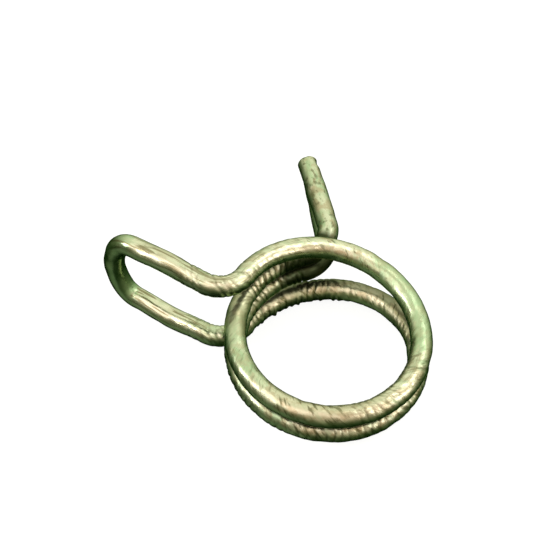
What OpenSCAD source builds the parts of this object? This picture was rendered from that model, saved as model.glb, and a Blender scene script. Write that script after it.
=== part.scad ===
// Double-wire spring clamp for flexible tubing, free (unsqueezed) state.
// One length of round spring wire: a hairpin loop whose two legs bend onto the coil, wrap it
// about 400 degrees side by side, and turn out again as two tails beside the loop.
// Squeezing the loop and the tails together opens the coil, and letting go clamps the tube.
// +Z is the coil's axis, z = 0 its middle plane, and the origin is the middle of the coil.
// The upper half of the wire and the lower half mirror each other in z = 0, apart from the
// bows of the legs and the tails.

/* [Wire] */
// Diameter of the round spring wire
wire_d = 1.5; // [1.2:0.1:1.6]
// Number of flats round the wire's section
wire_sides = 20; // [12:2:24]
// Width of the chamfer round each cut end
end_chamfer = 0.2; // [0.1:0.05:0.4]

/* [Coil] */
// Free inside diameter of the coil where the legs run onto it
bore_d = 11.1; // [9.5:0.1:16]
// How much the coil's radius has grown where the tails leave it
coil_flare = 0.35; // [0.1:0.05:0.6]
// How much the coil's radius narrows halfway round
coil_waist = 0.5; // [0:0.05:0.7]
// How far the coil's middle walks to the right from its start to its end
coil_drift_x = 0.65; // [0:0.05:0.8]
// How far the coil's middle walks to the back from its start to its end
coil_drift_y = 0.45; // [0.2:0.05:0.8]
// Gap between the two rings where they lie side by side
ring_gap = 0.25; // [0.1:0.05:0.35]
// Part of the coil over which the two rings come together
closing_part = 0.5; // [0.44:0.02:0.6]
// How sharply they come together, higher is sooner
closing_power = 3.1; // [2.5:0.1:4]

/* [Loop] */
// Gap between the loop's two legs at the coil
leg_gap = 4.2; // [4:0.1:5]
// Direction in which the loop points, in degrees round the coil's axis
loop_angle = 155; // [150:1:160]
// Place where the legs meet the coil, in degrees round its axis
leg_angle = 152.5; // [148:0.5:156]
// Inside of the bend from leg to coil, measured to the wire's centre
leg_bend_r = 2; // [1.5:0.1:2.6]
// Length of the loop's legs between the bend and the rounded end
leg_length = 5.4; // [4:0.1:8]
// How far the loop's end reaches past the legs
loop_end_reach = 1.75; // [1.5:0.05:3]
// Outward bow of the upper leg at its middle
upper_leg_bow = 0.15; // [0:0.05:0.4]
// Outward bow of the lower leg at its middle
lower_leg_bow = 0.25; // [0:0.05:0.4]

/* [Tails] */
// Place where the tails leave the coil, in degrees round its axis
tail_angle = 113.5; // [108:0.5:118]
// Bend from coil to tail, measured to the wire's centre
tail_bend_r = 2.4; // [1.6:0.1:3]
// Direction of the upper tail, in degrees round the coil's axis
upper_tail_dir = 109; // [100:0.5:114]
// Direction of the lower tail, in degrees round the coil's axis
lower_tail_dir = 104.5; // [100:0.5:114]
// Straight length of the upper tail
upper_tail_length = 5.8; // [3:0.1:9]
// Straight length of the lower tail
lower_tail_length = 6.3; // [3:0.1:9]

/* [Hidden] */
UPPER = 1;
LOWER = -1;
wire_r = wire_d / 2;
coil_r = bore_d / 2 + wire_r;
leg_z = (leg_gap + wire_d) / 2;
ring_z = (ring_gap + wire_d) / 2;
full_turn = 360;
coil_sweep = leg_angle + full_turn - tail_angle;
coil_step = 5;
bend_step = 9;
loop_end_stations = 10;
leg_stations = 12;
wire_color = [0.74, 0.75, 0.58];

// A vector of length r in the direction a, seen from above.
function polar(r, a) = [r * cos(a), r * sin(a)];

// Rises from 0 to 1 and is level at both ends.
function ease(t) = (1 - cos(180 * t)) / 2;

// Rises from 0 to 1 halfway and falls back to 0, level at both ends and in the middle.
function hump(t) = (1 - cos(360 * t)) / 2;

function unit(v) = v / norm(v);

function reversed(list) = [for (i = [len(list) - 1:-1:0]) list[i]];

// One place along the wire: its centre, its heading seen from above, and its radius there.
function station(xy, z, heading, r = wire_r) = [xy.x, xy.y, z, heading, r];

function centre(s) = [s[0], s[1], s[2]];

function plan_heading(s) = s[3];

function section_r(s) = s[4];

// The bend from leg to coil turns left, about a point outside the coil.
leg_heading = loop_angle + 180;
leg_turn = leg_angle - 90 + full_turn - leg_heading;
leg_bend_centre = coil_middle(0) + polar(coil_r + leg_bend_r, leg_angle);

function leg_bend_point(turned) = leg_bend_centre + polar(leg_bend_r, leg_heading + turned - 90);

leg_root = leg_bend_point(0);

// Half of the loop's rounded end, from its tip (t = 0) to the leg (t = 1).
function loop_end(side) = [
    for (i = [0:loop_end_stations])
        let (a = 90 * i / loop_end_stations)
        station(leg_root + polar(leg_length + loop_end_reach * cos(a), loop_angle),
                side * leg_z * sin(a), leg_heading)
];

function leg_bow(side) = side == UPPER ? upper_leg_bow : lower_leg_bow;

// The leg runs from the loop's end towards the coil and bows outward a little.
function leg(side) = [
    for (i = [1:leg_stations - 1])
        let (t = i / leg_stations)
        station(leg_root + polar(leg_length * (1 - t), loop_angle),
                side * (leg_z + leg_bow(side) * hump(t)), leg_heading)
];

function leg_bend(side) =
    let (steps = ceil(leg_turn / bend_step))
    [
        for (i = [0:steps - 1])
            let (turned = leg_turn * i / steps)
            station(leg_bend_point(turned), side * leg_z, leg_heading + turned)
    ];

// The coil's radius and height at t, which runs from 0 at the leg to 1 at the tail.
function coil_radius(t) = coil_r + coil_flare * ease(t) - coil_waist * hump(t);

function coil_height(t) =
    let (closing = pow(max(0, cos(90 * min(1, t / closing_part))), closing_power))
    ring_z + (leg_z - ring_z) * closing;

// The coil's own centre walks evenly past the origin.
function coil_middle(t) = [coil_drift_x, coil_drift_y] * (ease(t) - 0.5);

// The wire goes clockwise round the coil, seen from above, for more than a full turn.
function coil(side) =
    let (steps = ceil(coil_sweep / coil_step))
    [
        for (i = [0:steps])
            let (t = i / steps, a = leg_angle - coil_sweep * t)
            station(coil_middle(t) + polar(coil_radius(t), a), side * coil_height(t), a - 90)
    ];

// The tail's bend turns left again, and the tail stands away from the coil.
tail_heading = tail_angle - 90;
tail_bend_centre = coil_middle(1) + polar(coil_radius(1) + tail_bend_r, tail_angle);

function tail_dir(side) = side == UPPER ? upper_tail_dir : lower_tail_dir;

function tail_length(side) = side == UPPER ? upper_tail_length : lower_tail_length;

function tail_bend_point(turned) = tail_bend_centre + polar(tail_bend_r, tail_heading + turned - 90);

function tail_bend(side) =
    let (turn = tail_dir(side) - tail_heading, steps = ceil(turn / bend_step))
    [
        for (i = [1:steps])
            let (turned = turn * i / steps)
            station(tail_bend_point(turned), side * ring_z, tail_heading + turned)
    ];

// The straight tail ends in a flat cut with a small chamfer.
function tail(side) =
    let (root = tail_bend_point(tail_dir(side) - tail_heading), dir = tail_dir(side))
    [
        station(root + polar(tail_length(side) - end_chamfer, dir), side * ring_z, dir),
        station(root + polar(tail_length(side), dir), side * ring_z, dir, wire_r - end_chamfer)
    ];

function half_wire(side) = concat(
    loop_end(side), leg(side), leg_bend(side), coil(side), tail_bend(side), tail(side)
);

// The lower half is walked backwards, and the loop's tip, which both halves hold, is kept once.
wire_path = concat(
    reversed(half_wire(LOWER)),
    [for (i = [1:len(half_wire(UPPER)) - 1]) half_wire(UPPER)[i]]
);

// The wire's direction at station i, from its two neighbours.
function tangent(path, i) =
    unit(centre(path[min(i + 1, len(path) - 1)]) - centre(path[max(i - 1, 0)]));

// The round section at station i, square to the wire. Its first corner lies level with the
// centre, to the left of the heading, so the corners line up from one section to the next.
function section(path, i) =
    let (
        s = path[i],
        along = tangent(path, i),
        left = [-sin(plan_heading(s)), cos(plan_heading(s)), 0],
        up = unit(cross(along, left)),
        out = cross(up, along)
    )
    [
        for (k = [0:wire_sides - 1])
            let (a = full_turn * k / wire_sides)
            centre(s) + section_r(s) * (out * cos(a) + up * sin(a))
    ];

// Two triangles for each flat between section i and the next one.
function skin(i) = [
    for (k = [0:wire_sides - 1])
        let (
            next = (k + 1) % wire_sides,
            here = i * wire_sides,
            there = here + wire_sides
        )
        each [
            [here + k, here + next, there + next],
            [here + k, there + next, there + k]
        ]
];

module clamp_wire() {
    count = len(wire_path);
    last = (count - 1) * wire_sides;
    color(wire_color)
        polyhedron(
            points = [for (i = [0:count - 1]) each section(wire_path, i)],
            faces = concat(
                [[for (k = [wire_sides - 1:-1:0]) k]],
                [for (i = [0:count - 2]) each skin(i)],
                [[for (k = [0:wire_sides - 1]) last + k]]
            ),
            convexity = 10
        );
}

clamp_wire();
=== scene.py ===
"""Dresses the tubing clamp: one plated spring wire, bent into a coil with a loop and two tails."""

import math
from collections import namedtuple

import bpy
from mathutils import Matrix, Vector, kdtree, noise


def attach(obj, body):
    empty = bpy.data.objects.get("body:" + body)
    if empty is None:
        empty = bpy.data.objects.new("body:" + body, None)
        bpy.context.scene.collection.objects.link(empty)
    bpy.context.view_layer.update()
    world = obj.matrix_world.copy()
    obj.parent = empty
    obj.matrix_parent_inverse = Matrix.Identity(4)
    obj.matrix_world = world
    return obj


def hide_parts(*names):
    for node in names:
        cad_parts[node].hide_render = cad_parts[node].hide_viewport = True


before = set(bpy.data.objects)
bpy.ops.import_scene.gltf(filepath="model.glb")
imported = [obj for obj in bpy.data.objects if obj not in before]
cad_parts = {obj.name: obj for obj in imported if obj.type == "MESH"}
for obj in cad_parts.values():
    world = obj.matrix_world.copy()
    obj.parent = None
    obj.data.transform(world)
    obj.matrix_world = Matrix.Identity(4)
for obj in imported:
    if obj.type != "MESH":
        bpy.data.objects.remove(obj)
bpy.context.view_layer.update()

MM = 0.001
FULL_TURN = 360
QUARTER = math.pi / 2

# The wire and its bends, in millimetres and degrees round the coil's axis.
WIRE_D = 1.5
WIRE_R = WIRE_D / 2
END_CHAMFER = 0.2
BORE_D = 11.1
COIL_R = BORE_D / 2 + WIRE_R
COIL_FLARE = 0.35
COIL_WAIST = 0.5
COIL_DRIFT = Vector((0.65, 0.45))
RING_Z = (0.25 + WIRE_D) / 2
CLOSING_PART = 0.5
CLOSING_POWER = 3.1
LEG_Z = (4.2 + WIRE_D) / 2
LOOP_ANGLE = 155
LEG_ANGLE = 152.5
LEG_BEND_R = 2
LEG_LENGTH = 5.4
LOOP_END_REACH = 1.75
TAIL_ANGLE = 113.5
TAIL_BEND_R = 2.4
UPPER, LOWER = 1, -1
LEG_BOW = {UPPER: 0.15, LOWER: 0.25}
TAIL_DIR = {UPPER: 109, LOWER: 104.5}
TAIL_LENGTH = {UPPER: 5.8, LOWER: 6.3}
COIL_SWEEP = LEG_ANGLE + FULL_TURN - TAIL_ANGLE

# How finely the wire is drawn.
STATION_STEP = 0.056
BEVEL_RESOLUTION = 16
WELD_GAP = 0.001 * MM

# How deep each mark is pressed in, in millimetres. The whole skin lies SKIN_DEPTH inside the
# plain wire, and no place lies further in than DEEPEST.
SKIN_DEPTH = 0.006
DRAW_MARK_DEPTH = 0.035
DENT_DEPTH = 0.05
RIB_DEPTH = 0.06
PINCH_DEPTH = 0.12
DEEPEST = 0.18

# Ribs left by the coiling rolls: millimetres from one to the next, how far that spacing wanders
# and how quickly, how narrow the grooves are, their mean depth and how much it varies. RIB_SIDE is
# how far ribs on one side of the wire reach round to the other.
RIB_PITCH = 0.48
RIB_WANDER = 0.55
RIB_WANDER_SCALE = 0.9
RIB_NARROWNESS = 3
RIB_MEAN = 0.75
RIB_VARIATION = 1.1
RIB_SIDE = 0.75

# A ragged row of ribs that stand up: millimetres apart, their height, how narrow they are, and the
# mean of their uneven height.
RAISED_PITCH = 0.75
RAISED_HEIGHT = 0.16
RAISED_NARROWNESS = 1.5
RAISED_MEAN = 0.6

# Draw marks: their mean and variation, and the radians that they wind round the coiled wire in a
# millimetre. DENT_GAIN makes the dents' pattern stronger.
DRAW_MARK_MEAN = 0.5
DRAW_MARK_VARIATION = 0.5
STREAK_TWIST = -1.3
DENT_GAIN = 1.3

# Where the cutter pinched the wire: from and to how many millimetres off a cut end, the length over
# which it fades there, how narrow it is round the wire, and how much darker it is coloured.
PINCH_NEAR = 0.35
PINCH_FAR = 0.75
PINCH_EDGE = 0.35
PINCH_NARROWNESS = 3
PINCH_DARKENING = 0.5

# Noise in the skin's shape: how fine it is per millimetre in x and y, round the wire, and in z,
# along it, and how far it is shifted, so that no two are alike. The raised ribs' crests have the
# way along the wire in x and nothing in y and z.
UNEVEN_RIBS = ((1.1, 1.1, 1.6), (9, 0, 0))
DRAW_MARKS = ((2.4, 2.4, 0.8), (0, 0, 0))
DENTS = ((1.2, 1.2, 0.9), (0, 0, 40))
WANDERING_CRESTS = ((0.9, 0, 0), (0, 0, 70))
UNEVEN_CRESTS = ((1.3, 0, 0), (0, 0, 90))

# Painted shade: the wire's lower side is tinted deep green, beginning where its skin faces up by
# SHADE_FROM and full SHADE_EDGE further down. The tails have less of it.
SHADE_FROM = 0.75
SHADE_EDGE = 0.8
TAIL_SHADE = 0.4

# Painted shade where turns lie close together: how far off they count, the length of the place's own
# stretch that doesn't, every how many stations they are sampled, and how much lighter it is on
# skin that faces up and darker on skin that faces down.
CREVICE_REACH = 3.0
CREVICE_OWN_LENGTH = 4
CREVICE_STRIDE = 4
SKYWARD_RELIEF = 0.7
GROUNDWARD_COVER = 0.9

# How dark the other painted shades are and which way their sides face, and how far the painted shade
# under the coil's other end reaches round the wire. OUTER_FULL is how squarely skin faces its side
# where the outer painted shade is full.
UNDER_COIL_SHADE = 0.42
UNDER_COIL_SHADE_SIDE = Vector((0, -0.6, 0.8))
UNDER_COIL_SHADE_ROUND = 0.6
INSIDE_SHADE = 0.2
HOLLOW_SHADE = 0.3
HOLLOW_SIDE = Vector((0, -0.8, -0.6))
OUTER_SHADE = 0.24
OUTER_FULL = 1.2
UP = Vector((0, 0, 1))

# The marks' zones. Each half of the wire has a loop end, a leg, a leg bend, a coil, a tail bend and
# a tail. A zone is a part of one such stretch: from, to and how strongly. It fades out over an edge
# beyond each end.
ZONE_EDGE = 0.05
GREEN_EDGE = 0.08
DRAWN_EDGE = 0.1
LOOP_END_SHADE_EDGE = 0.2
UNDER_COIL_SHADE_COIL_EDGE = 0.05
UNDER_COIL_SHADE_BEND_EDGE = 0.35

# Stretches that the rolls ribbed, with by how many ribs each rib slants in one turn round the wire.
RIBBED = {
    UPPER: {
        "leg": [(0.75, 1.0, 0.55, -5)],
        "leg bend": [(0.0, 1.0, 0.75, -4)],
        "coil": [(0.0, 0.06, 0.3, -3), (0.43, 0.54, 0.5, -3), (0.90, 1.0, 1.2, 1)],
    },
    LOWER: {
        "leg": [(0.8, 1.0, 0.4, -3)],
        "leg bend": [(0.0, 1.0, 0.5, -3)],
        "coil": [
            (0.0, 0.13, 0.9, 1),
            (0.17, 0.32, 0.3, -4),
            (0.43, 0.62, 0.6, -1),
            (0.68, 0.82, 0.8, 1),
            (0.90, 1.0, 1.2, -1),
        ],
    },
}
# Stretches ribbed on one side of the wire alone: the upper side, or below 0 the lower side.
ONE_SIDED = {UPPER: {}, LOWER: {"coil": [(0.40, 0.62, 1.0), (0.69, 0.84, -1.0)]}}
# Stretches with a ragged row of raised ribs along HOLLOW_SIDE, which faces down and to the front.
RAISED = {UPPER: {}, LOWER: {"coil": [(0.02, 0.15, 1.0)]}}
# Stretches with painted shade along that side.
HOLLOW = {
    UPPER: {"leg": [(0.75, 1.0, 0.9)], "leg bend": [(0.0, 1.0, 1.0)], "coil": [(0.0, 0.03, 0.8)]},
    LOWER: {"coil": [(0.02, 0.15, 1.0)]},
}
# Stretches with painted shade along the side that faces up and away from the coil's axis.
OUTER = {UPPER: {}, LOWER: {"coil": [(0.12, 0.34, 1.0)]}}
# Stretches where the plating turned greener, or below 0 paler and yellower.
GREENER = {
    UPPER: {
        "leg": [(0.0, 1.0, -0.8)],
        "leg bend": [(0.0, 1.0, -0.7)],
        "coil": [
            (0.0, 0.17, -0.8),
            (0.24, 0.38, 0.9),
            (0.46, 0.60, -0.6),
            (0.74, 0.86, 0.6),
            (0.92, 1.0, -0.5),
        ],
        "tail bend": [(0.5, 1.0, 0.2)],
        "tail": [(0.0, 1.0, 0.2)],
    },
    LOWER: {
        "loop end": [(0.0, 1.0, 1.0)],
        "leg": [(0.0, 1.0, -0.4)],
        "coil": [(0.44, 0.62, -0.5), (0.70, 0.84, 0.5), (0.92, 1.0, -0.5)],
        "tail bend": [(0.6, 1.0, 0.65)],
        "tail": [(0.0, 1.0, 0.65)],
    },
}
# The bend at the loop's end, with painted shade: deep green all round, and darker on its inner side.
SHADED_LOOP_END = {
    UPPER: {"loop end": [(0.0, 0.45, 0.7)]},
    LOWER: {"loop end": [(0.0, 0.65, 0.7)]},
}
# Stretches that stayed bright, with the long brown marks of the drawing die on them.
DRAWN = {
    UPPER: {
        "loop end": [(0.6, 1.0, 0.9)],
        "leg": [(0.0, 1.0, 0.9)],
        "leg bend": [(0.0, 1.0, 0.8)],
        "coil": [(0.0, 0.08, 0.6), (0.42, 0.54, 0.4)],
    },
    LOWER: {
        "loop end": [(0.85, 1.0, 1.0)],
        "leg": [(0.0, 1.0, 1.0)],
        "leg bend": [(0.0, 1.0, 0.6)],
    },
}
# Stretches worn to a matte tan.
WORN = {
    UPPER: {"coil": [(0.54, 0.66, 0.5), (0.84, 1.0, 0.6)], "tail bend": [(0.0, 0.45, 1.0)]},
    LOWER: {"coil": [(0.0, 0.32, 0.75), (0.90, 1.0, 0.5)], "tail bend": [(0.0, 0.85, 1.0)]},
}
# Stretches with painted shade where the tails leave the coil under its other end.
SHADED_UNDER_COIL = {
    UPPER: {"coil": [(0.975, 1.0, 1.0)], "tail bend": [(0.0, 0.45, 1.0)]},
    LOWER: {"coil": [(0.98, 1.0, 1.0)], "tail bend": [(0.0, 0.85, 1.0)]},
}
# Where the coil passes under the loop's legs and most of the painted shade between turns is left off.
CREVICE_SHADE_SPARED = {UPPER: {"coil": [(0.855, 0.905, 0.8)]}, LOWER: {}}

# One place on the wire's centre: its ribbing, 1 where draw marks wind round the wire or else 0, how
# strongly each zone shows there, and how much painted green shade its lower side has.
Station = namedtuple(
    "Station",
    "middle ribbing slanted one_sided raised hollow outer green deep drawn worn dull rubbed shaded",
)


def polar(r, angle):
    """The point at a radius and an angle round the coil's axis, or a step of that length that way."""
    return Vector((r * math.cos(math.radians(angle)), r * math.sin(math.radians(angle))))


def ease(t):
    """Rises from 0 to 1 and is level at both ends."""
    return (1 - math.cos(math.pi * t)) / 2


def held_ease(t):
    """Rises like ease from 0 to 1, and holds 0 before and 1 after."""
    return ease(min(1, max(0, t)))


def hump(t):
    """Rises from 0 to 1 halfway and falls back to 0, level all three times."""
    return (1 - math.cos(2 * math.pi * t)) / 2


def within(t, low, high, edge):
    """1 between two places, falling to 0 over an edge beyond each of them."""
    return held_ease(1 - max(low - t, t - high) / edge)


def shares(length):
    """Even shares of a stretch, from 0 up to but without 1, a station step apart."""
    steps = math.ceil(length / STATION_STEP)
    return [i / steps for i in range(steps)]


def coil_middle(t):
    return COIL_DRIFT * (ease(t) - 0.5)


def coil_radius(t):
    return COIL_R + COIL_FLARE * ease(t) - COIL_WAIST * hump(t)


def coil_height(t):
    closing = max(0.0, math.cos(QUARTER * min(1, t / CLOSING_PART))) ** CLOSING_POWER
    return RING_Z + (LEG_Z - RING_Z) * closing


LOOP_WAY = polar(1, LOOP_ANGLE).to_3d()
LEG_HEADING = LOOP_ANGLE + 180
LEG_TURN = LEG_ANGLE - 90 + FULL_TURN - LEG_HEADING
LEG_BEND_MIDDLE = coil_middle(0) + polar(COIL_R + LEG_BEND_R, LEG_ANGLE)
LEG_ROOT = LEG_BEND_MIDDLE + polar(LEG_BEND_R, LEG_HEADING - 90)
TAIL_HEADING = TAIL_ANGLE - 90
TAIL_BEND_MIDDLE = coil_middle(1) + polar(coil_radius(1) + TAIL_BEND_R, TAIL_ANGLE)


def ribbing(side, stretch, t):
    """How strongly the wire is ribbed at a share of a stretch, and how the ribs slant."""
    strongest, slant = 0.0, 0
    for low, high, strength, ribs_a_turn in RIBBED[side].get(stretch, []):
        here = strength * within(t, low, high, ZONE_EDGE)
        if here > strongest:
            strongest, slant = here, ribs_a_turn
    return strongest, slant


def half_route(side):
    """The stations along the wire's centre, in millimetres, from the loop's tip to one tail's end."""
    route = []

    def pass_through(stretch, t, place, height):
        def share(zones, edge=ZONE_EDGE):
            marked = zones[side].get(stretch, [])
            return sum(strength * within(t, low, high, edge) for low, high, strength in marked)

        route.append(Station(
            middle=Vector((place.x, place.y, side * height)),
            ribbing=ribbing(side, stretch, t),
            slanted=1 if stretch == "coil" else 0,
            one_sided=share(ONE_SIDED),
            raised=share(RAISED),
            hollow=share(HOLLOW),
            outer=share(OUTER),
            green=share(GREENER, GREEN_EDGE),
            deep=share(SHADED_LOOP_END, LOOP_END_SHADE_EDGE),
            drawn=share(DRAWN, DRAWN_EDGE),
            worn=share(WORN),
            dull=share(SHADED_UNDER_COIL, UNDER_COIL_SHADE_COIL_EDGE if stretch == "coil" else UNDER_COIL_SHADE_BEND_EDGE),
            rubbed=share(CREVICE_SHADE_SPARED),
            shaded=TAIL_SHADE if "tail" in stretch else 1,
        ))

    for t in shares(QUARTER * (LEG_Z + LOOP_END_REACH) / 2):
        out = LEG_LENGTH + LOOP_END_REACH * math.cos(QUARTER * t)
        pass_through("loop end", t, LEG_ROOT + polar(out, LOOP_ANGLE), LEG_Z * math.sin(QUARTER * t))
    for t in shares(LEG_LENGTH):
        place = LEG_ROOT + polar(LEG_LENGTH * (1 - t), LOOP_ANGLE)
        pass_through("leg", t, place, LEG_Z + LEG_BOW[side] * hump(t))
    for t in shares(math.radians(LEG_TURN) * LEG_BEND_R):
        spoke = polar(LEG_BEND_R, LEG_HEADING + LEG_TURN * t - 90)
        pass_through("leg bend", t, LEG_BEND_MIDDLE + spoke, LEG_Z)
    for t in shares(math.radians(COIL_SWEEP) * COIL_R):
        spoke = polar(coil_radius(t), LEG_ANGLE - COIL_SWEEP * t)
        pass_through("coil", t, coil_middle(t) + spoke, coil_height(t))
    tail_turn = TAIL_DIR[side] - TAIL_HEADING
    for t in shares(math.radians(tail_turn) * TAIL_BEND_R):
        spoke = polar(TAIL_BEND_R, TAIL_HEADING + tail_turn * t - 90)
        pass_through("tail bend", t, TAIL_BEND_MIDDLE + spoke, RING_Z)
    tail_root = TAIL_BEND_MIDDLE + polar(TAIL_BEND_R, TAIL_DIR[side] - 90)
    for t in shares(TAIL_LENGTH[side]) + [1]:
        pass_through("tail", t, tail_root + polar(TAIL_LENGTH[side] * t, TAIL_DIR[side]), RING_Z)
    return route


def pick(piece):
    """Leaves one object selected and active."""
    bpy.ops.object.select_all(action="DESELECT")
    piece.select_set(True)
    bpy.context.view_layer.objects.active = piece


def end_width(distance):
    """The wire's radius at a distance from a cut end, as a share of its full radius."""
    short_of_full = max(0, 1 - distance / END_CHAMFER)
    return 1 - END_CHAMFER / WIRE_R * short_of_full


def draw_wire(route):
    """The round wire drawn along its route and made a mesh, with closed chamfered ends."""
    path = bpy.data.curves.new("clamp_wire_route", "CURVE")
    path.dimensions = "3D"
    path.twist_mode = "MINIMUM"
    path.bevel_depth = WIRE_R * MM
    path.bevel_resolution = BEVEL_RESOLUTION
    path.use_fill_caps = True
    spline = path.splines.new("POLY")
    spline.points.add(len(route) - 1)
    first, last = route[0].middle, route[-1].middle
    for point, station in zip(spline.points, route):
        point.co = (*(station.middle * MM), 1)
        from_end = min((station.middle - first).length, (station.middle - last).length)
        point.radius = end_width(from_end)
    wire = bpy.data.objects.new("plated_wire", path)
    bpy.context.scene.collection.objects.link(wire)
    pick(wire)
    bpy.ops.object.convert(target="MESH")
    bpy.ops.object.mode_set(mode="EDIT")
    bpy.ops.mesh.select_all(action="SELECT")
    bpy.ops.mesh.remove_doubles(threshold=WELD_GAP)
    bpy.ops.mesh.normals_make_consistent(inside=False)
    bpy.ops.object.mode_set(mode="OBJECT")
    return bpy.context.view_layer.objects.active


def streak_turns(route):
    """How far the draw marks have wound round the wire at each station, in radians."""
    wound = [0.0]
    for here, there in zip(route, route[1:]):
        wound.append(wound[-1] + STREAK_TWIST * here.slanted * (there.middle - here.middle).length)
    return wound


def travelled(route):
    """How far along the wire each station of its route lies, in millimetres."""
    far = [0.0]
    for here, there in zip(route, route[1:]):
        far.append(far[-1] + (there.middle - here.middle).length)
    return far


def unroll(wire, route):
    """Each vertex's station on the route and its turn round the wire, from 0 to 1."""
    mesh = wire.data
    unwrapped = mesh.uv_layers.active.data
    found = {}
    for face in mesh.polygons:
        if len(face.vertices) == 4:
            for corner in face.loop_indices:
                spot = unwrapped[corner].uv
                found[mesh.loops[corner].vertex_index] = (round(spot.x * (len(route) - 1)), spot.y % 1)
    return [found[vertex] for vertex in range(len(mesh.vertices))]


def keep_values(mesh, name, values, kind="FLOAT", part="value"):
    """Keeps a value for each vertex in the mesh, under a name that the finish reads."""
    mesh.attributes.new(name, kind, "POINT")
    mesh.attributes[name].data.foreach_set(part, values)


def cloud_at(place, scale, shift):
    """Smooth noise at a place, from about -1 to 1."""
    return noise.noise(Vector([at * fine + off for at, fine, off in zip(place, scale, shift)]))


def rib_at(place, turn, share, slant):
    """How deep a ribbed place lies between two ribs, from 0 to about 1."""
    wander = RIB_WANDER * noise.noise(place * RIB_WANDER_SCALE)
    valley = hump(place.z / RIB_PITCH + slant * turn + wander) ** RIB_NARROWNESS
    uneven = RIB_MEAN + RIB_VARIATION * cloud_at(place, *UNEVEN_RIBS)
    return max(0, share * uneven * valley)


def crest_at(far):
    """How high the row of raised ribs is at a distance along the wire, from 0 to about 1."""
    along = Vector((far, 0, 0))
    row = hump(far / RAISED_PITCH + cloud_at(along, *WANDERING_CRESTS)) ** RAISED_NARROWNESS
    return max(0, row * (RAISED_MEAN + cloud_at(along, *UNEVEN_CRESTS)))


def cutter_pinch(sideways, from_end):
    """How deep the cutter pinched one side of the wire near a cut end, from 0 to 1."""
    return within(from_end, PINCH_NEAR, PINCH_FAR, PINCH_EDGE) * max(0, sideways) ** PINCH_NARROWNESS


def closed_in(place, outward, at, turns):
    """How far other turns of the wire close a place in, from 0 to about 1 where they touch."""
    closed = 0
    for middle, other, away in turns.find_range(place, CREVICE_REACH):
        if abs(other - at) > CREVICE_OWN_LENGTH / STATION_STEP:
            closed += max(0, (middle - place).dot(outward)) / away ** 3
    cover = 1 - (SKYWARD_RELIEF if outward.z > 0 else GROUNDWARD_COVER) * outward.z
    return closed * cover * CREVICE_STRIDE * STATION_STEP * WIRE_R / 2


def paint_shade_on_wire(wire, route):
    """Keeps how much painted shade each place has, from 0 to 1: where other turns close it in, and on
    the shaded sides of some zones.
    """
    turns = kdtree.KDTree(len(route) // CREVICE_STRIDE + 1)
    for at in range(0, len(route), CREVICE_STRIDE):
        turns.insert(route[at].middle, at)
    turns.balance()
    painted_shades = []
    for vertex, (at, _) in zip(wire.data.vertices, unroll(wire, route)):
        place, station = vertex.co / MM, route[at]
        outward = (place - station.middle).normalized()
        up_and_out = Vector((*station.middle.xy, 0)).normalized() + UP
        # Every term is painted shade: where other turns close the place in, under the coil's other
        # end, inside the loop's end, and on the hollow and outer sides.
        painted_shades.append(min(1, max(
            closed_in(place, outward, at, turns) * (1 - station.rubbed),
            UNDER_COIL_SHADE * station.dull * held_ease(UNDER_COIL_SHADE_ROUND + outward.dot(UNDER_COIL_SHADE_SIDE)),
            INSIDE_SHADE * station.deep * max(0, -outward.dot(LOOP_WAY)),
            HOLLOW_SHADE * station.hollow * held_ease(outward.dot(HOLLOW_SIDE)),
            OUTER_SHADE * station.outer * held_ease(outward.dot(up_and_out) / OUTER_FULL),
        )))
    keep_values(wire.data, "painted_shade", painted_shades)


def push_skin(wire, shares_here, most):
    """Pushes each vertex out along its normal by its share of the most, in millimetres."""
    pushed = wire.vertex_groups.new(name="pushed")
    for vertex, share in enumerate(shares_here):
        pushed.add([vertex], min(1, share), "REPLACE")
    pick(wire)
    push = wire.modifiers.new("pushed", "DISPLACE")
    push.vertex_group = pushed.name
    push.mid_level = 0
    push.strength = most * MM
    bpy.ops.object.modifier_apply(modifier=push.name)
    wire.vertex_groups.clear()


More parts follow.
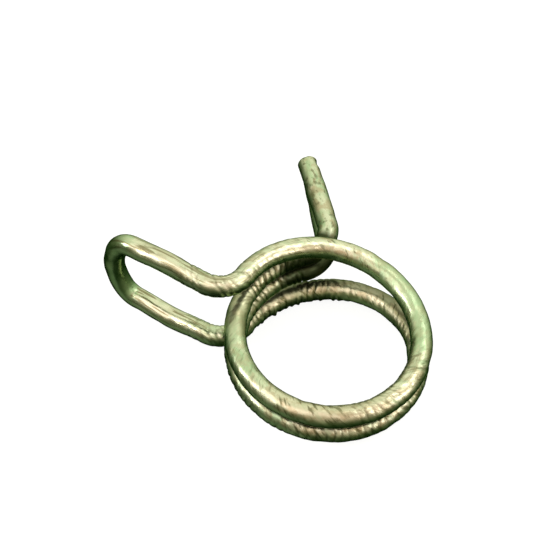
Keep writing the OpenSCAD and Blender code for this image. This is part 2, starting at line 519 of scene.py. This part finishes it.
def press_marks(wire, route):
    """Presses ribs, draw marks and dents into the wire, and keeps what the finish needs of them and of
    the painted shade.

    The unrolled place is a point on a straight wire: round it in x and y, along it in z. The
    streaked place is the same point, turned with the draw marks that wind round the coil.
    """
    far = travelled(route)
    wound = streak_turns(route)
    unrolled, streaked, depths, raised = [], [], [], []
    marks = {name: [] for name in ("green", "drawn", "worn", "underside_shade", "groove_darkening")}
    for vertex, (at, turn) in zip(wire.data.vertices, unroll(wire, route)):
        station = route[at]
        outward = (vertex.co / MM - station.middle) / WIRE_R
        angle = 2 * math.pi * turn
        place = Vector((WIRE_R * math.cos(angle), WIRE_R * math.sin(angle), far[at]))
        angle += wound[at]
        streak = Vector((WIRE_R * math.cos(angle), WIRE_R * math.sin(angle), far[at]))
        unrolled.extend(place)
        streaked.extend(streak)

        smooth_side = 1 - held_ease(RIB_SIDE + station.one_sided * outward.z)
        rib = rib_at(place, turn, *station.ribbing) * (1 - abs(station.one_sided) * smooth_side)
        draw_mark = DRAW_MARK_MEAN + DRAW_MARK_VARIATION * cloud_at(streak, *DRAW_MARKS)
        dent = DENT_GAIN * max(0, cloud_at(place, *DENTS))
        pinch = cutter_pinch(outward.x, min(far[at], far[-1] - far[at]))
        marks_here = RIB_DEPTH * rib + DRAW_MARK_DEPTH * draw_mark + DENT_DEPTH * dent
        depths.append(SKIN_DEPTH + marks_here + PINCH_DEPTH * pinch)
        raised.append(station.raised * held_ease(outward.dot(HOLLOW_SIDE)) * crest_at(far[at]))

        # Painted shade: the lower side, and the loop's end all round, are tinted deep green.
        below = held_ease((SHADE_FROM - outward.z) / SHADE_EDGE)
        marks["green"].append(station.green)
        marks["drawn"].append(station.drawn)
        marks["worn"].append(station.worn)
        marks["underside_shade"].append(max(station.deep, station.shaded * below))
        marks["groove_darkening"].append(rib + PINCH_DARKENING * pinch)
    keep_values(wire.data, "unrolled", unrolled, "FLOAT_VECTOR", "vector")
    keep_values(wire.data, "streaked", streaked, "FLOAT_VECTOR", "vector")
    for name, values in marks.items():
        keep_values(wire.data, name, values)
    push_skin(wire, [depth / DEEPEST for depth in depths], -DEEPEST)
    push_skin(wire, raised, RAISED_HEIGHT)


def make_wire():
    route = half_route(LOWER)[::-1] + half_route(UPPER)[1:]
    wire = draw_wire(route)
    paint_shade_on_wire(wire, route)
    press_marks(wire, route)
    pick(wire)
    bpy.ops.object.shade_smooth()
    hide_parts("clamp_wire")
    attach(wire, "root")
    return wire


# ---------------------------------------------------------------- finish
def node(tree, kind, **values):
    made = tree.nodes.new(kind)
    for name, value in values.items():
        setattr(made, name, value)
    return made


def kept(tree, name, part="Fac"):
    """What the wire keeps for each vertex under a name."""
    return node(tree, "ShaderNodeAttribute", attribute_name=name).outputs[part]


def stretched_noise(tree, place, pattern):
    """Noise whose size differs along and round the wire."""
    spread = node(tree, "ShaderNodeMapping")
    spread.inputs["Scale"].default_value = pattern.scale
    spread.inputs["Location"].default_value = (pattern.shift, pattern.shift, pattern.shift)
    tree.links.new(place, spread.inputs["Vector"])
    cloud = node(tree, "ShaderNodeTexNoise")
    cloud.inputs["Scale"].default_value = 1
    cloud.inputs["Detail"].default_value = pattern.detail
    cloud.inputs["Roughness"].default_value = pattern.roughness
    tree.links.new(spread.outputs[0], cloud.inputs["Vector"])
    return cloud.outputs["Fac"]


def span(tree, value, low, high, to_low=0.0, to_high=1.0):
    """Carries one span of a value onto another, held at both ends."""
    carry = node(tree, "ShaderNodeMapRange")
    carry.inputs["From Min"].default_value = low
    carry.inputs["From Max"].default_value = high
    carry.inputs["To Min"].default_value = to_low
    carry.inputs["To Max"].default_value = to_high
    tree.links.new(value, carry.inputs["Value"])
    return carry.outputs[0]


def combine(tree, operation, first, second, held=False):
    """A Math node on two values, held between 0 and 1 if asked."""
    work = node(tree, "ShaderNodeMath", operation=operation, use_clamp=held)
    tree.links.new(first, work.inputs[0])
    tree.links.new(second, work.inputs[1])
    return work.outputs[0]


def tint(tree, share, under, over):
    """Lays a colour over another by a share; either may be a colour or another node's output."""
    blend = node(tree, "ShaderNodeMix", data_type="RGBA")
    tree.links.new(share, blend.inputs["Factor"])
    for socket, colour in (("A", under), ("B", over)):
        place = next(s for s in blend.inputs if s.name == socket and s.type == "RGBA")
        if isinstance(colour, tuple):
            place.default_value = (*colour, 1)
        else:
            tree.links.new(colour, place)
    return next(s for s in blend.outputs if s.type == "RGBA")


# The plating's colours. RIM_TINT is what it mirrors with where it is seen at a slant.
SAGE = (0.60, 0.725, 0.49)
PALE_YELLOW = (0.90, 0.865, 0.69)
TAN = (0.62, 0.52, 0.355)
GREEN_SHADE = (0.47, 0.63, 0.40)
# The colour of the painted shade on the wire's lower side and the loop's end.
UNDERSIDE_SHADE_GREEN = (0.37, 0.61, 0.28)
BROWN = (0.28, 0.235, 0.12)
DARK_OLIVE = (0.14, 0.13, 0.05)
# The colour of the painted shade between turns and on shaded sides.
PAINTED_SHADE_BLACK = (0.02, 0.035, 0.01)
RIM_TINT = (0.5, 0.62, 0.45)

# Noise in the finish: how fine it is per millimetre in x and y, round the wire, and in z, along
# it, how much fine detail it has, and how far it is shifted, so that no two are alike.
Pattern = namedtuple("Pattern", "scale detail roughness shift")
BLOTCHES = Pattern((0.9, 0.9, 0.5), 3, 0.5, 0)
STREAKS = Pattern((2.4, 2.4, 0.8), 3, 0.55, 20)
TAN_SPOTS = Pattern((1.4, 1.4, 1.1), 4, 0.6, 50)
DASHES = Pattern((2.6, 2.6, 1.7), 2, 0.55, 80)
DIE_MARKS = Pattern((4.4, 4.4, 0.42), 2, 0.55, 170)
SCRATCHES = Pattern((5, 5, 1.2), 2, 0.5, 110)
PITS = Pattern((2.2, 2.2, 1.6), 2, 0.5, 140)

# Spans of a pattern or of a kept value, from and to, and what each end is carried onto: the share
# of a colour first, then roughness, and then the relief's height.
YELLOW_SPAN = (0.38, 0.54, 0, 1)
STREAK_SPAN = (0.50, 0.66, 0, 0.5)
TAN_SPAN = (0.48, 0.58, 0, 0.9)
TAN_SPARED = (0, 1, 1, 0.3)
DASH_SPAN = (0.55, 0.66, 0, 0.8)
DASH_SPARED = (0, 1, 1, 0.1)
DIE_MARK_SPAN = (0.53, 0.60, 0, 0.85)
WORN_SPAN = (0, 1, 0, 0.7)
UNDERSIDE_SHADE_SPAN = (0, 1, 0, 0.8)
GROOVE_DARKENING_SPAN = (0.1, 1.0, 0, 0.8)
PAINTED_SHADE_SPAN = (0.06, 0.36, 0, 0.94)
STREAK_ROUGHNESS = (0.35, 0.65, 0.24, 0.38)
SLANT_GLOSS = (0.55, 0.9, 1, 0.4)
DRAWN_GLOSS = (0, 1, 0, -0.03)
WORN_ROUGHNESS = (0, 1, 0, 0.08)
SCRATCH_HEIGHT = (0.3, 0.7, 0, 0.4)
PIT_HEIGHT = (0.3, 0.7, 0, 1)
RELIEF_STRENGTH = 0.25
RELIEF_HEIGHT = 0.03


def plated_finish():
    """Yellow-green passivated zinc: blotched, streaked along the wire and dark in its marks, with
    painted shade between turns and on its lower side.
    """
    finish = bpy.data.materials.new("green_zinc_plate")
    finish.use_nodes = True
    tree = finish.node_tree
    skin = tree.nodes["Principled BSDF"]
    place = kept(tree, "unrolled", "Vector")
    streaked = kept(tree, "streaked", "Vector")
    green = kept(tree, "green")
    drawn = kept(tree, "drawn")
    worn = kept(tree, "worn")

    # Green and die-marked stretches are spared most of the tan spots and dark dashes.
    spared = combine(tree, "MAXIMUM", green, drawn)
    streaks = stretched_noise(tree, streaked, STREAKS)
    pale = span(tree, stretched_noise(tree, place, BLOTCHES), *YELLOW_SPAN)
    yellowed = combine(tree, "SUBTRACT", pale, green, held=True)
    spots = span(tree, stretched_noise(tree, place, TAN_SPOTS), *TAN_SPAN)
    tanned = combine(tree, "MULTIPLY", spots, span(tree, spared, *TAN_SPARED))
    dashes = span(tree, stretched_noise(tree, streaked, DASHES), *DASH_SPAN)
    dashed = combine(tree, "MULTIPLY", dashes, span(tree, spared, *DASH_SPARED))
    die_marks = span(tree, stretched_noise(tree, place, DIE_MARKS), *DIE_MARK_SPAN)
    die_marked = combine(tree, "MULTIPLY", die_marks, drawn)

    colour = tint(tree, yellowed, SAGE, PALE_YELLOW)
    colour = tint(tree, span(tree, streaks, *STREAK_SPAN), colour, GREEN_SHADE)
    colour = tint(tree, tanned, colour, TAN)
    colour = tint(tree, span(tree, worn, *WORN_SPAN), colour, TAN)
    colour = tint(tree, dashed, colour, DARK_OLIVE)
    colour = tint(tree, die_marked, colour, BROWN)
    # Painted shade on the lower side and round the loop's end.
    colour = tint(tree, span(tree, kept(tree, "underside_shade"), *UNDERSIDE_SHADE_SPAN), colour, UNDERSIDE_SHADE_GREEN)
    # Darker in the rib grooves and where the cutter pinched the wire.
    colour = tint(tree, span(tree, kept(tree, "groove_darkening"), *GROOVE_DARKENING_SPAN), colour, DARK_OLIVE)
    # Painted shade, near black, where turns close each other in and on shaded sides.
    colour = tint(tree, span(tree, kept(tree, "painted_shade"), *PAINTED_SHADE_SPAN), colour, PAINTED_SHADE_BLACK)
    tree.links.new(colour, skin.inputs["Base Color"])
    skin.inputs["Metallic"].default_value = 1
    skin.inputs["Specular Tint"].default_value = (*RIM_TINT, 1)

    facing = node(tree, "ShaderNodeLayerWeight").outputs["Facing"]
    glossed = span(tree, facing, *SLANT_GLOSS)
    roughness = combine(tree, "MULTIPLY", span(tree, streaks, *STREAK_ROUGHNESS), glossed)
    roughness = combine(tree, "ADD", roughness, span(tree, drawn, *DRAWN_GLOSS))
    roughness = combine(tree, "ADD", roughness, span(tree, worn, *WORN_ROUGHNESS))
    tree.links.new(roughness, skin.inputs["Roughness"])

    scratches = span(tree, stretched_noise(tree, streaked, SCRATCHES), *SCRATCH_HEIGHT)
    pits = span(tree, stretched_noise(tree, place, PITS), *PIT_HEIGHT)
    relief = node(tree, "ShaderNodeBump")
    relief.inputs["Strength"].default_value = RELIEF_STRENGTH
    relief.inputs["Distance"].default_value = RELIEF_HEIGHT * MM
    tree.links.new(combine(tree, "ADD", scratches, pits), relief.inputs["Height"])
    tree.links.new(relief.outputs["Normal"], skin.inputs["Normal"])
    return finish


# ---------------------------------------------------------------- stage
CAMERA_TARGET = Vector((-4.14, 5.10, 0)) * MM
CAMERA_DISTANCE = 91.8 * MM
CAMERA_HEADING = -3.97
CAMERA_ELEVATION = 53.36
CAMERA_ROLL = 2.6
CAMERA_LENS = 89.15
SENSOR_WIDTH = 36


def direction(heading, elevation):
    """The way from a point to something seen at that heading (0 is +Y) and elevation."""
    h, e = math.radians(heading), math.radians(elevation)
    return Vector((math.sin(h) * math.cos(e), math.cos(h) * math.cos(e), math.sin(e)))


def set_camera():
    look = direction(CAMERA_HEADING, -CAMERA_ELEVATION)
    camera_data = bpy.data.cameras.new("camera")
    camera_data.lens = CAMERA_LENS
    camera_data.sensor_width = SENSOR_WIDTH
    camera_data.clip_start = 1 * MM
    camera = bpy.data.objects.new("camera", camera_data)
    bpy.context.scene.collection.objects.link(camera)
    roll = Matrix.Rotation(math.radians(CAMERA_ROLL), 4, "Z")
    aim = look.to_track_quat("-Z", "Y") @ roll.to_quaternion()
    place = Matrix.Translation(CAMERA_TARGET - look * CAMERA_DISTANCE)
    camera.matrix_world = place @ aim.to_matrix().to_4x4()
    bpy.context.scene.camera = camera


REST_UP = Vector((-0.142, 0.066, 0.988)).normalized()
FLOOR_SIZE = 2000 * MM
FLOOR_GLOW = 0.9
FLOOR_SHADE = 0.25


def make_floor(wire):
    """The flat ground that the clamp would lie on, tipped so that it touches the wire."""
    low = min(vertex.co.dot(REST_UP) for vertex in wire.data.vertices)
    bpy.ops.object.select_all(action="DESELECT")
    bpy.ops.mesh.primitive_plane_add(size=FLOOR_SIZE)
    floor = bpy.context.object
    floor.name = "floor"
    tip = REST_UP.to_track_quat("Z", "Y").to_matrix().to_4x4()
    floor.matrix_world = Matrix.Translation(REST_UP * low) @ tip
    paint = bpy.data.materials.new("pale_ground")
    paint.use_nodes = True
    skin = paint.node_tree.nodes["Principled BSDF"]
    skin.inputs["Base Color"].default_value = (FLOOR_SHADE, FLOOR_SHADE, FLOOR_SHADE, 1)
    skin.inputs["Roughness"].default_value = 1
    skin.inputs["Specular IOR Level"].default_value = 0
    skin.inputs["Emission Color"].default_value = (1, 1, 1, 1)
    skin.inputs["Emission Strength"].default_value = FLOOR_GLOW
    floor.data.materials.append(paint)
    floor.visible_glossy = False
    floor.visible_diffuse = False
    floor.visible_shadow = False


# What the metal mirrors, by how near it lies to the ceiling light: -1 is opposite, 1 is towards it.
CEILING_HEADING = 40
CEILING_ELEVATION = 77
ROOM = (
    (-1.00, (0.003, 0.014, 0.002)),
    (-0.50, (0.024, 0.050, 0.014)),
    (0.00, (0.145, 0.177, 0.100)),
    (0.34, (0.435, 0.440, 0.330)),
    (0.50, (0.630, 0.620, 0.495)),
    (0.77, (0.850, 0.825, 0.720)),
    (1.00, (0.880, 0.860, 0.775)),
)
BRIGHTEST = 1.2
# Casts of colour that the room takes on towards its front and its back, and how far each reaches.
FRONT_CAST = (1.05, 0.93, 0.86)
BACK_CAST = (0.96, 1.06, 0.90)
CAST_REACH = 0.4
# Glows on a table low at the front left and a wall at the back, each with the span of nearness to
# its middle over which it comes in, and its share there.
TABLE_HEADING = -134
TABLE_ELEVATION = -38
TABLE_GLOW = (0.21, 0.235, 0.165)
TABLE_SPAN = (0.86, 0.98, 0, 0.7)
WALL_HEADING = 0
WALL_ELEVATION = 15
WALL_GLOW = (0.80, 0.85, 0.66)
WALL_SPAN = (0.55, 0.95, 0, 0.6)


def set_world():
    """A dim room under a broad ceiling light that only the metal mirrors; the camera sees white."""
    world = bpy.data.worlds.new("studio")
    bpy.context.scene.world = world
    world.use_nodes = True
    tree = world.node_tree
    where = node(tree, "ShaderNodeTexCoord").outputs["Generated"]

    def nearness_to(heading, elevation):
        nearness = node(tree, "ShaderNodeVectorMath", operation="DOT_PRODUCT")
        nearness.inputs[1].default_value = direction(heading, elevation)
        tree.links.new(where, nearness.inputs[0])
        return nearness.outputs["Value"]

    ramp = node(tree, "ShaderNodeValToRGB")
    stops = ramp.color_ramp.elements
    while len(stops) < len(ROOM):
        stops.new(0.5)
    # Each stop, wherever it was added, gets its place and colour here.
    for stop, (near, colour) in zip(stops, ROOM):
        stop.position = (near + 1) / 2
        stop.color = (*[part / BRIGHTEST for part in colour], 1)
    near_ceiling = nearness_to(CEILING_HEADING, CEILING_ELEVATION)
    tree.links.new(span(tree, near_ceiling, -1, 1), ramp.inputs[0])
    split = node(tree, "ShaderNodeSeparateXYZ")
    tree.links.new(where, split.inputs[0])
    to_back = span(tree, split.outputs["Y"], -CAST_REACH, CAST_REACH)
    coloured = node(tree, "ShaderNodeVectorMath", operation="MULTIPLY")
    tree.links.new(ramp.outputs[0], coloured.inputs[0])
    tree.links.new(tint(tree, to_back, FRONT_CAST, BACK_CAST), coloured.inputs[1])
    near_table = nearness_to(TABLE_HEADING, TABLE_ELEVATION)
    lit = tint(tree, span(tree, near_table, *TABLE_SPAN), coloured.outputs[0], TABLE_GLOW)
    near_wall = nearness_to(WALL_HEADING, WALL_ELEVATION)
    lit = tint(tree, span(tree, near_wall, *WALL_SPAN), lit, WALL_GLOW)
    room = node(tree, "ShaderNodeBackground")
    room.inputs["Strength"].default_value = BRIGHTEST
    tree.links.new(lit, room.inputs["Color"])
    white = node(tree, "ShaderNodeBackground")
    white.inputs["Color"].default_value = (1, 1, 1, 1)
    seen = node(tree, "ShaderNodeLightPath")
    choose = node(tree, "ShaderNodeMixShader")
    tree.links.new(seen.outputs["Is Camera Ray"], choose.inputs[0])
    tree.links.new(room.outputs[0], choose.inputs[1])
    tree.links.new(white.outputs[0], choose.inputs[2])
    tree.links.new(choose.outputs[0], tree.nodes["World Output"].inputs["Surface"])


# Square soft lights that face the clamp: heading, elevation, width in millimetres, watts, colour.
SOFTBOX_DISTANCE = 160 * MM
WHITE_LIGHT = (1, 0.99, 0.96)
WARM_LIGHT = (1, 0.98, 0.92)
SOFTBOXES = {
    "left_softbox": (-130, 52, 120, 0.036, WHITE_LIGHT),
    "right_softbox": (60, 60, 80, 0.028, WARM_LIGHT),
    "low_right_softbox": (112, 34, 90, 0.040, WARM_LIGHT),
    "low_left_softbox": (-103, 30, 60, 0.045, WHITE_LIGHT),
}


def add_softbox(name, heading, elevation, width, power, colour):
    lamp = bpy.data.lights.new(name, "AREA")
    lamp.size = width * MM
    lamp.energy = power
    lamp.color = colour
    box = bpy.data.objects.new(name, lamp)
    bpy.context.scene.collection.objects.link(box)
    toward = direction(heading, elevation)
    aim = (-toward).to_track_quat("-Z", "Y").to_matrix().to_4x4()
    box.matrix_world = Matrix.Translation(toward * SOFTBOX_DISTANCE) @ aim


wire = make_wire()
wire.data.materials.clear()
wire.data.materials.append(plated_finish())
bpy.context.scene.view_settings.view_transform = "Standard"
set_camera()
make_floor(wire)
set_world()
for name, settings in SOFTBOXES.items():
    add_softbox(name, *settings)
